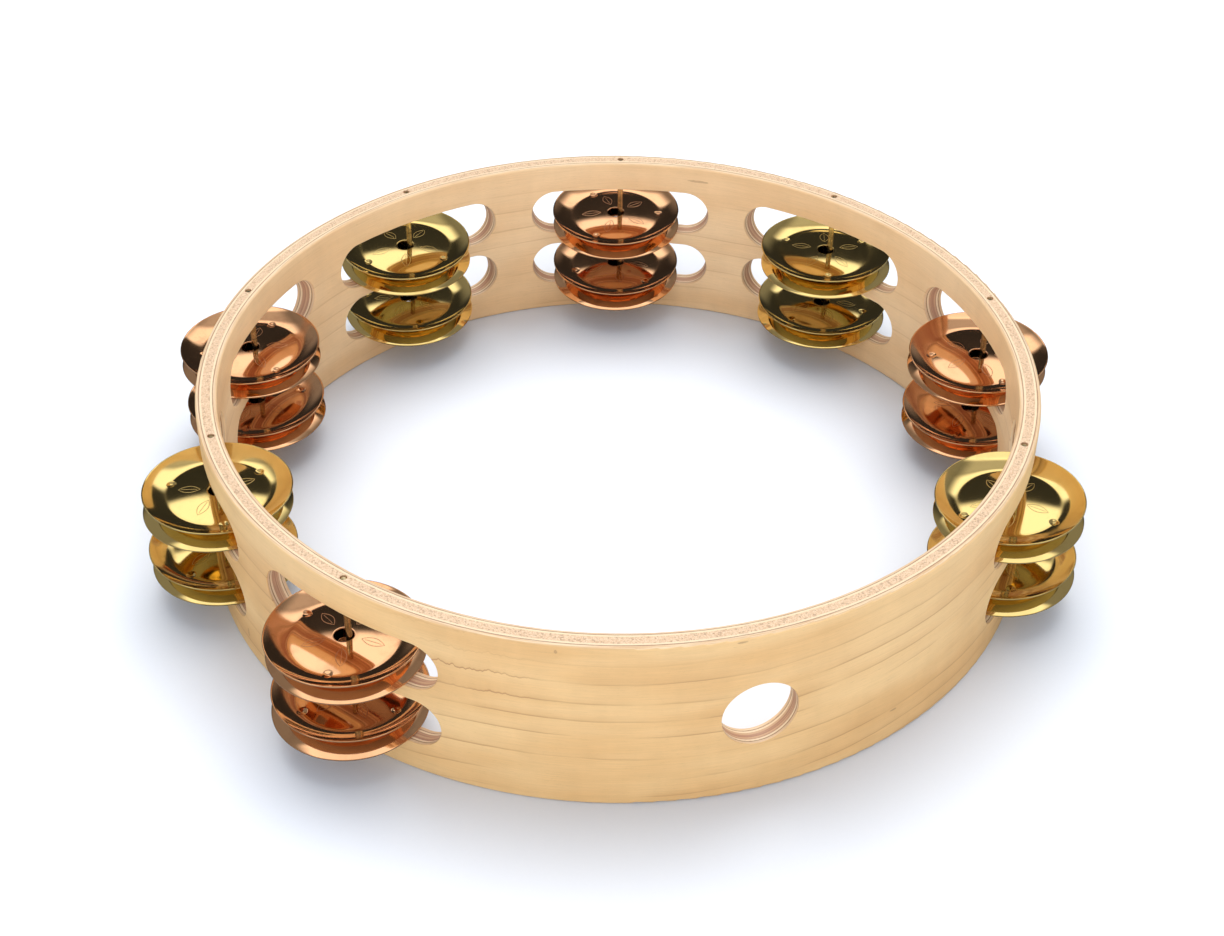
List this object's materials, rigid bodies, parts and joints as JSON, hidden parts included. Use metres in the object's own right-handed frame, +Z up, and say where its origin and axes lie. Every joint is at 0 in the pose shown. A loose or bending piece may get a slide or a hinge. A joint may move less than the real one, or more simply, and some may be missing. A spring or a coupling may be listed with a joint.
{
  "type": "headless tambourine",
  "caption": "Round wooden hoop tambourine without a head: pairs of brass and copper jingle discs ride on upright pins in slots round the wall, and a thumb hole marks the plain grip.",
  "frame": {"origin": "centre of the hoop's bottom rim, so the hoop stands on Z = 0", "axes": "+Z up along the hoop's axis; the plain grip faces -Y and a little +X, with the thumb hole 72 degrees clockwise from +X seen from above"},
  "size_m": [0.2801, 0.2735, 0.058],
  "materials": {
    "face_veneer": "satin lacquer",
    "crossband_veneer": "satin lacquer on its edges",
    "core_veneer": "satin lacquer on its edges, end grain in the slots",
    "pin_brass": "dull drawn brass",
    "disc_brass": "polished",
    "disc_copper": "polished copper"
  },
  "bodies": {
    "hoop": {"hoop_outer_face_ply": "face_veneer", "hoop_outer_crossband": "crossband_veneer", "hoop_core_ply": "core_veneer", "hoop_inner_crossband": "crossband_veneer", "hoop_inner_face_ply": "face_veneer", "jingle_pin_1": "pin_brass", "jingle_pin_2": "pin_brass", "jingle_pin_3": "pin_brass", "jingle_pin_4": "pin_brass", "jingle_pin_5": "pin_brass", "jingle_pin_6": "pin_brass", "jingle_pin_7": "pin_brass", "jingle_pin_8": "pin_brass"},
    "jingle_1_lower_row_bottom_disc": {"jingle_1_lower_row_bottom_disc": "disc_brass"},
    "jingle_1_lower_row_top_disc": {"jingle_1_lower_row_top_disc": "disc_brass"},
    "jingle_1_upper_row_bottom_disc": {"jingle_1_upper_row_bottom_disc": "disc_brass"},
    "jingle_1_upper_row_top_disc": {"jingle_1_upper_row_top_disc": "disc_brass"},
    "jingle_2_lower_row_bottom_disc": {"jingle_2_lower_row_bottom_disc": "disc_copper"},
    "jingle_2_lower_row_top_disc": {"jingle_2_lower_row_top_disc": "disc_copper"},
    "jingle_2_upper_row_bottom_disc": {"jingle_2_upper_row_bottom_disc": "disc_copper"},
    "jingle_2_upper_row_top_disc": {"jingle_2_upper_row_top_disc": "disc_copper"},
    "jingle_3_lower_row_bottom_disc": {"jingle_3_lower_row_bottom_disc": "disc_brass"},
    "jingle_3_lower_row_top_disc": {"jingle_3_lower_row_top_disc": "disc_brass"},
    "jingle_3_upper_row_bottom_disc": {"jingle_3_upper_row_bottom_disc": "disc_brass"},
    "jingle_3_upper_row_top_disc": {"jingle_3_upper_row_top_disc": "disc_brass"},
    "jingle_4_lower_row_bottom_disc": {"jingle_4_lower_row_bottom_disc": "disc_copper"},
    "jingle_4_lower_row_top_disc": {"jingle_4_lower_row_top_disc": "disc_copper"},
    "jingle_4_upper_row_bottom_disc": {"jingle_4_upper_row_bottom_disc": "disc_copper"},
    "jingle_4_upper_row_top_disc": {"jingle_4_upper_row_top_disc": "disc_copper"},
    "jingle_5_lower_row_bottom_disc": {"jingle_5_lower_row_bottom_disc": "disc_brass"},
    "jingle_5_lower_row_top_disc": {"jingle_5_lower_row_top_disc": "disc_brass"},
    "jingle_5_upper_row_bottom_disc": {"jingle_5_upper_row_bottom_disc": "disc_brass"},
    "jingle_5_upper_row_top_disc": {"jingle_5_upper_row_top_disc": "disc_brass"},
    "jingle_6_lower_row_bottom_disc": {"jingle_6_lower_row_bottom_disc": "disc_copper"},
    "jingle_6_lower_row_top_disc": {"jingle_6_lower_row_top_disc": "disc_copper"},
    "jingle_6_upper_row_bottom_disc": {"jingle_6_upper_row_bottom_disc": "disc_copper"},
    "jingle_6_upper_row_top_disc": {"jingle_6_upper_row_top_disc": "disc_copper"},
    "jingle_7_lower_row_bottom_disc": {"jingle_7_lower_row_bottom_disc": "disc_brass"},
    "jingle_7_lower_row_top_disc": {"jingle_7_lower_row_top_disc": "disc_brass"},
    "jingle_7_upper_row_bottom_disc": {"jingle_7_upper_row_bottom_disc": "disc_brass"},
    "jingle_7_upper_row_top_disc": {"jingle_7_upper_row_top_disc": "disc_brass"},
    "jingle_8_lower_row_bottom_disc": {"jingle_8_lower_row_bottom_disc": "disc_copper"},
    "jingle_8_lower_row_top_disc": {"jingle_8_lower_row_top_disc": "disc_copper"},
    "jingle_8_upper_row_bottom_disc": {"jingle_8_upper_row_bottom_disc": "disc_copper"},
    "jingle_8_upper_row_top_disc": {"jingle_8_upper_row_top_disc": "disc_copper"}
  },
  "joints": [
    {"name": "jingle_1_lower_row_bottom_disc_slide", "type": "slide", "parent": "hoop", "child": "jingle_1_lower_row_bottom_disc", "axis": [0, 0, 1], "range_m": [0, 0.0047]},
    {"name": "jingle_1_lower_row_top_disc_slide", "type": "slide", "parent": "jingle_1_lower_row_bottom_disc", "child": "jingle_1_lower_row_top_disc", "axis": [0, 0, 1], "range_m": [0, 0.0047]},
    {"name": "jingle_1_upper_row_bottom_disc_slide", "type": "slide", "parent": "hoop", "child": "jingle_1_upper_row_bottom_disc", "axis": [0, 0, 1], "range_m": [0, 0.0047]},
    {"name": "jingle_1_upper_row_top_disc_slide", "type": "slide", "parent": "jingle_1_upper_row_bottom_disc", "child": "jingle_1_upper_row_top_disc", "axis": [0, 0, 1], "range_m": [0, 0.0047]},
    {"name": "jingle_2_lower_row_bottom_disc_slide", "type": "slide", "parent": "hoop", "child": "jingle_2_lower_row_bottom_disc", "axis": [0, 0, 1], "range_m": [0, 0.0047]},
    {"name": "jingle_2_lower_row_top_disc_slide", "type": "slide", "parent": "jingle_2_lower_row_bottom_disc", "child": "jingle_2_lower_row_top_disc", "axis": [0, 0, 1], "range_m": [0, 0.0047]},
    {"name": "jingle_2_upper_row_bottom_disc_slide", "type": "slide", "parent": "hoop", "child": "jingle_2_upper_row_bottom_disc", "axis": [0, 0, 1], "range_m": [0, 0.0047]},
    {"name": "jingle_2_upper_row_top_disc_slide", "type": "slide", "parent": "jingle_2_upper_row_bottom_disc", "child": "jingle_2_upper_row_top_disc", "axis": [0, 0, 1], "range_m": [0, 0.0047]},
    {"name": "jingle_3_lower_row_bottom_disc_slide", "type": "slide", "parent": "hoop", "child": "jingle_3_lower_row_bottom_disc", "axis": [0, 0, 1], "range_m": [0, 0.0047]},
    {"name": "jingle_3_lower_row_top_disc_slide", "type": "slide", "parent": "jingle_3_lower_row_bottom_disc", "child": "jingle_3_lower_row_top_disc", "axis": [0, 0, 1], "range_m": [0, 0.0047]},
    {"name": "jingle_3_upper_row_bottom_disc_slide", "type": "slide", "parent": "hoop", "child": "jingle_3_upper_row_bottom_disc", "axis": [0, 0, 1], "range_m": [0, 0.0047]},
    {"name": "jingle_3_upper_row_top_disc_slide", "type": "slide", "parent": "jingle_3_upper_row_bottom_disc", "child": "jingle_3_upper_row_top_disc", "axis": [0, 0, 1], "range_m": [0, 0.0047]},
    {"name": "jingle_4_lower_row_bottom_disc_slide", "type": "slide", "parent": "hoop", "child": "jingle_4_lower_row_bottom_disc", "axis": [0, 0, 1], "range_m": [0, 0.0047]},
    {"name": "jingle_4_lower_row_top_disc_slide", "type": "slide", "parent": "jingle_4_lower_row_bottom_disc", "child": "jingle_4_lower_row_top_disc", "axis": [0, 0, 1], "range_m": [0, 0.0047]},
    {"name": "jingle_4_upper_row_bottom_disc_slide", "type": "slide", "parent": "hoop", "child": "jingle_4_upper_row_bottom_disc", "axis": [0, 0, 1], "range_m": [0, 0.0047]},
    {"name": "jingle_4_upper_row_top_disc_slide", "type": "slide", "parent": "jingle_4_upper_row_bottom_disc", "child": "jingle_4_upper_row_top_disc", "axis": [0, 0, 1], "range_m": [0, 0.0047]},
    {"name": "jingle_5_lower_row_bottom_disc_slide", "type": "slide", "parent": "hoop", "child": "jingle_5_lower_row_bottom_disc", "axis": [0, 0, 1], "range_m": [0, 0.0047]},
    {"name": "jingle_5_lower_row_top_disc_slide", "type": "slide", "parent": "jingle_5_lower_row_bottom_disc", "child": "jingle_5_lower_row_top_disc", "axis": [0, 0, 1], "range_m": [0, 0.0047]},
    {"name": "jingle_5_upper_row_bottom_disc_slide", "type": "slide", "parent": "hoop", "child": "jingle_5_upper_row_bottom_disc", "axis": [0, 0, 1], "range_m": [0, 0.0047]},
    {"name": "jingle_5_upper_row_top_disc_slide", "type": "slide", "parent": "jingle_5_upper_row_bottom_disc", "child": "jingle_5_upper_row_top_disc", "axis": [0, 0, 1], "range_m": [0, 0.0047]},
    {"name": "jingle_6_lower_row_bottom_disc_slide", "type": "slide", "parent": "hoop", "child": "jingle_6_lower_row_bottom_disc", "axis": [0, 0, 1], "range_m": [0, 0.0047]},
    {"name": "jingle_6_lower_row_top_disc_slide", "type": "slide", "parent": "jingle_6_lower_row_bottom_disc", "child": "jingle_6_lower_row_top_disc", "axis": [0, 0, 1], "range_m": [0, 0.0047]},
    {"name": "jingle_6_upper_row_bottom_disc_slide", "type": "slide", "parent": "hoop", "child": "jingle_6_upper_row_bottom_disc", "axis": [0, 0, 1], "range_m": [0, 0.0047]},
    {"name": "jingle_6_upper_row_top_disc_slide", "type": "slide", "parent": "jingle_6_upper_row_bottom_disc", "child": "jingle_6_upper_row_top_disc", "axis": [0, 0, 1], "range_m": [0, 0.0047]},
    {"name": "jingle_7_lower_row_bottom_disc_slide", "type": "slide", "parent": "hoop", "child": "jingle_7_lower_row_bottom_disc", "axis": [0, 0, 1], "range_m": [0, 0.0047]},
    {"name": "jingle_7_lower_row_top_disc_slide", "type": "slide", "parent": "jingle_7_lower_row_bottom_disc", "child": "jingle_7_lower_row_top_disc", "axis": [0, 0, 1], "range_m": [0, 0.0047]},
    {"name": "jingle_7_upper_row_bottom_disc_slide", "type": "slide", "parent": "hoop", "child": "jingle_7_upper_row_bottom_disc", "axis": [0, 0, 1], "range_m": [0, 0.0047]},
    {"name": "jingle_7_upper_row_top_disc_slide", "type": "slide", "parent": "jingle_7_upper_row_bottom_disc", "child": "jingle_7_upper_row_top_disc", "axis": [0, 0, 1], "range_m": [0, 0.0047]},
    {"name": "jingle_8_lower_row_bottom_disc_slide", "type": "slide", "parent": "hoop", "child": "jingle_8_lower_row_bottom_disc", "axis": [0, 0, 1], "range_m": [0, 0.0047]},
    {"name": "jingle_8_lower_row_top_disc_slide", "type": "slide", "parent": "jingle_8_lower_row_bottom_disc", "child": "jingle_8_lower_row_top_disc", "axis": [0, 0, 1], "range_m": [0, 0.0047]},
    {"name": "jingle_8_upper_row_bottom_disc_slide", "type": "slide", "parent": "hoop", "child": "jingle_8_upper_row_bottom_disc", "axis": [0, 0, 1], "range_m": [0, 0.0047]},
    {"name": "jingle_8_upper_row_top_disc_slide", "type": "slide", "parent": "jingle_8_upper_row_bottom_disc", "child": "jingle_8_upper_row_top_disc", "axis": [0, 0, 1], "range_m": [0, 0.0047]}
  ]
}
